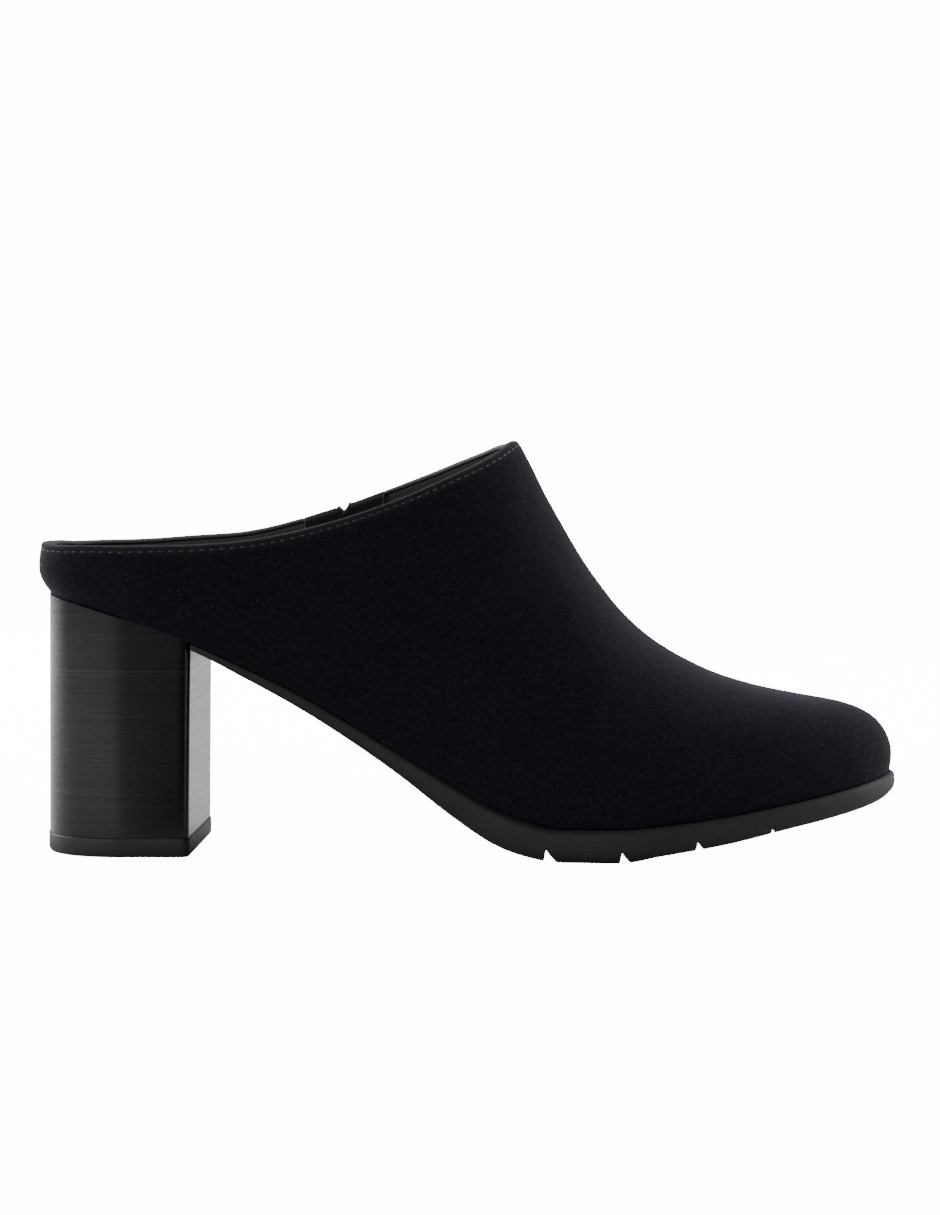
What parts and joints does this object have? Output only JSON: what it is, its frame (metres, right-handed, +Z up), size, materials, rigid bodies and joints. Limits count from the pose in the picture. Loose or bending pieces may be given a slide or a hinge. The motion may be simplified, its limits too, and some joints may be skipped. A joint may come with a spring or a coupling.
{
  "type": "heeled mule shoe",
  "caption": "Closed-toe, open-back mule with a high throat, a hollow fabric upper, a grooved rubber sole and a block heel.",
  "frame": {"origin": "on the floor, under the middle of the shoe's bounding box", "axes": "+X towards the toe, +Y towards the inner (medial) side of the foot, +Z up"},
  "size_m": [0.25, 0.0811, 0.1179],
  "materials": {
    "upper": "matte black nubuck-like fabric",
    "gore": "black ribbed elastic",
    "insole": "black smooth lining",
    "outsole": "matte dark grey moulded rubber",
    "heel": "satin black stacked leather",
    "top_lift": "matte black rubber"
  },
  "bodies": {
    "root": {"upper": "upper", "gore": "gore", "insole": "insole", "outsole": "outsole", "heel": "heel", "top_lift": "top_lift"}
  },
  "joints": []
}
